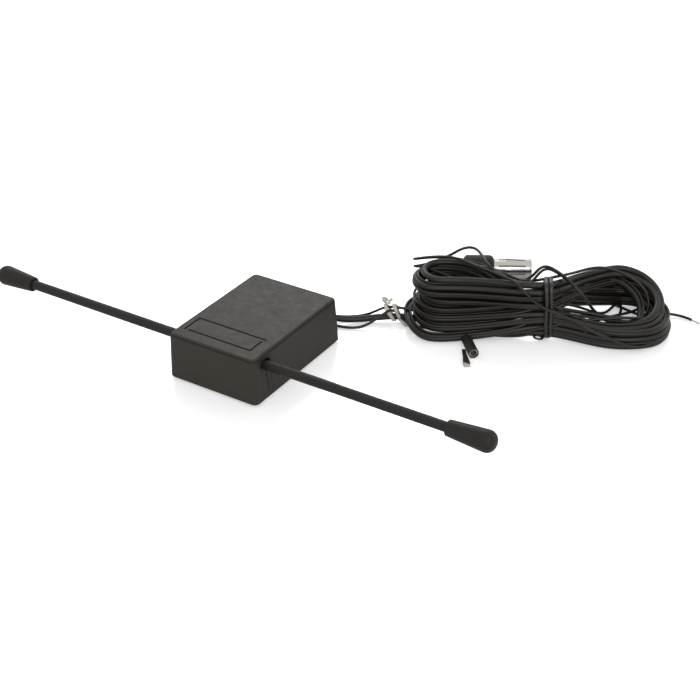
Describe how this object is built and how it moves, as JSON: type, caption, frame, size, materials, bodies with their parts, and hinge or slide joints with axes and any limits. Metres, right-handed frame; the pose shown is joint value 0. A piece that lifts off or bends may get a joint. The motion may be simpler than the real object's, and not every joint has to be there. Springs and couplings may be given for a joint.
{
  "type": "window antenna",
  "caption": "Amplified car window antenna: a flat black box, two sheathed rods with end caps and a tied hank of lead with an aerial plug.",
  "frame": {"origin": "middle of the box's underside, on the face of the adhesive pad", "axes": "+X along the rods, +Z out of the glass, -Y the end of the box with the rods and the label frame"},
  "size_m": [0.287, 0.1659, 0.0292],
  "materials": {
    "cover_plastic": "semi-gloss warm black ABS",
    "base_plastic": "matt black ABS",
    "foam_pad": "black adhesive foam",
    "sheath_plastic": "matt black extruded vinyl",
    "cap_rubber": "smooth black moulded rubber",
    "steel": "drawn steel",
    "terminal_brass": "plain brass",
    "board_laminate": "green solder mask",
    "ferrite": "dark grey ferrite",
    "copper_wire": "enamelled copper",
    "moulding_compound": "black moulding compound",
    "can_sleeve": "dark blue can sleeve",
    "ceramic": "dipped ochre ceramic",
    "resistor_lacquer": "beige lacquer",
    "cable_jacket": "black vinyl cable jacket",
    "clear_plastic": "translucent strip",
    "band_plastic": "shiny black vinyl band",
    "nickel": "bright nickel plate",
    "insulator_plastic": "natural nylon",
    "tinned_copper": "tinned strands"
  },
  "bodies": {
    "root": {"cover": "cover_plastic", "base_plate": "base_plastic", "adhesive_pad": "foam_pad", "sheath_left": "sheath_plastic", "sheath_right": "sheath_plastic", "rod_left": "steel", "rod_right": "steel", "cap_left": "cap_rubber", "cap_right": "cap_rubber", "terminal_left": "terminal_brass", "terminal_right": "terminal_brass", "terminal_screws": "steel", "circuit_board": "board_laminate", "ferrite_core": "ferrite", "core_windings": "copper_wire", "transistors": "moulding_compound", "electrolytic_capacitor": "can_sleeve", "ceramic_capacitors": "ceramic", "resistors": "resistor_lacquer", "board_screws": "steel", "case_screws": "steel", "cable_clamp": "insulator_plastic", "clamp_screws": "steel", "coax_lead": "cable_jacket", "supply_wire": "cable_jacket", "ground_wire": "cable_jacket", "wire_tie": "clear_plastic", "cable_hank": "cable_jacket", "hank_tie": "band_plastic", "coax_tail": "cable_jacket", "plug_body": "base_plastic", "plug_sleeve": "nickel", "plug_insulator": "insulator_plastic", "plug_pin": "nickel", "end_sleeve": "cable_jacket", "end_socket": "nickel", "end_tab": "cable_jacket", "supply_wire_end": "cable_jacket", "bare_wire_end": "tinned_copper"}
  },
  "joints": []
}
